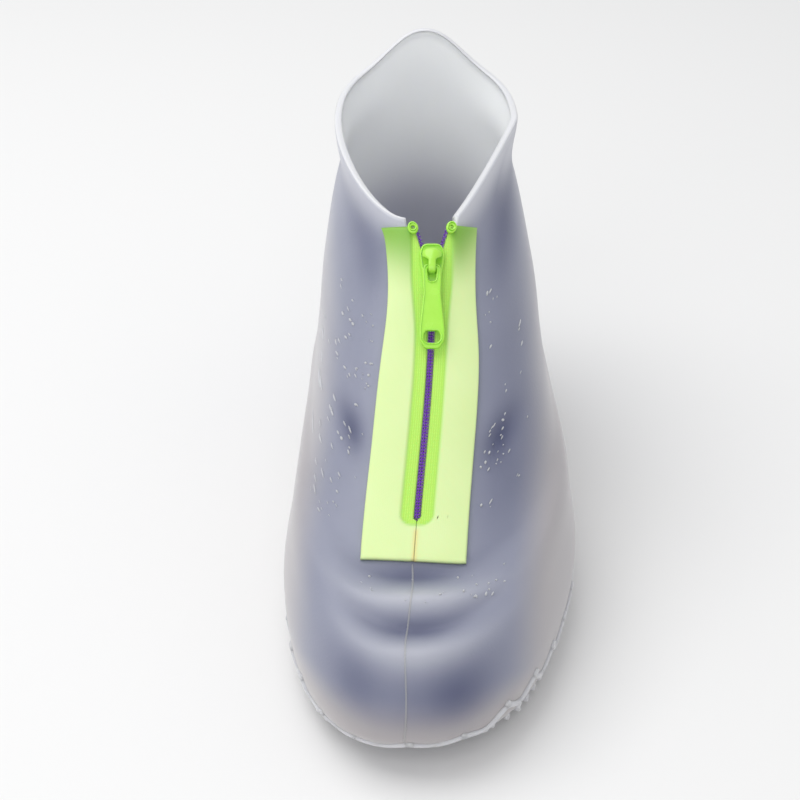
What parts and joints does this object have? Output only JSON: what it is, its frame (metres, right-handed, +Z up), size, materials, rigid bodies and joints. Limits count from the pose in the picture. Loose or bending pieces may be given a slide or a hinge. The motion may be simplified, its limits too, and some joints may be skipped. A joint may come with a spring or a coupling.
{
  "type": "shoe cover",
  "caption": "Soft silicone overshoe for a left foot, open at the ankle, with a front zip closed by a slider and pull tab, ribbed sole and wavy side beads.",
  "frame": {"origin": "centre of the box around the cover, at the level it stands on", "axes": "+Z up, -Y towards the toe, +X towards the outer side of the left foot"},
  "size_m": [0.1042, 0.292, 0.1552],
  "materials": {
    "frosted_silicone": "frosted, satin",
    "lime_tape": "woven",
    "purple_teeth": "satin",
    "lime_plastic": "gloss"
  },
  "bodies": {
    "cover": {"shell": "frosted_silicone", "tape_left": "lime_tape", "tape_right": "lime_tape", "teeth_left": "purple_teeth", "teeth_right": "purple_teeth", "slider": "lime_plastic", "top_stop_left": "lime_plastic", "top_stop_right": "lime_plastic"},
    "pull": {"pull_tab": "lime_plastic"}
  },
  "joints": [
    {"name": "pull_lift", "type": "hinge", "parent": "cover", "child": "pull", "pos_m": [0.00018, -0.00202, 0.11492], "axis": [-1, 0.0051, 0.0042], "range_deg": [0, 120]}
  ]
}
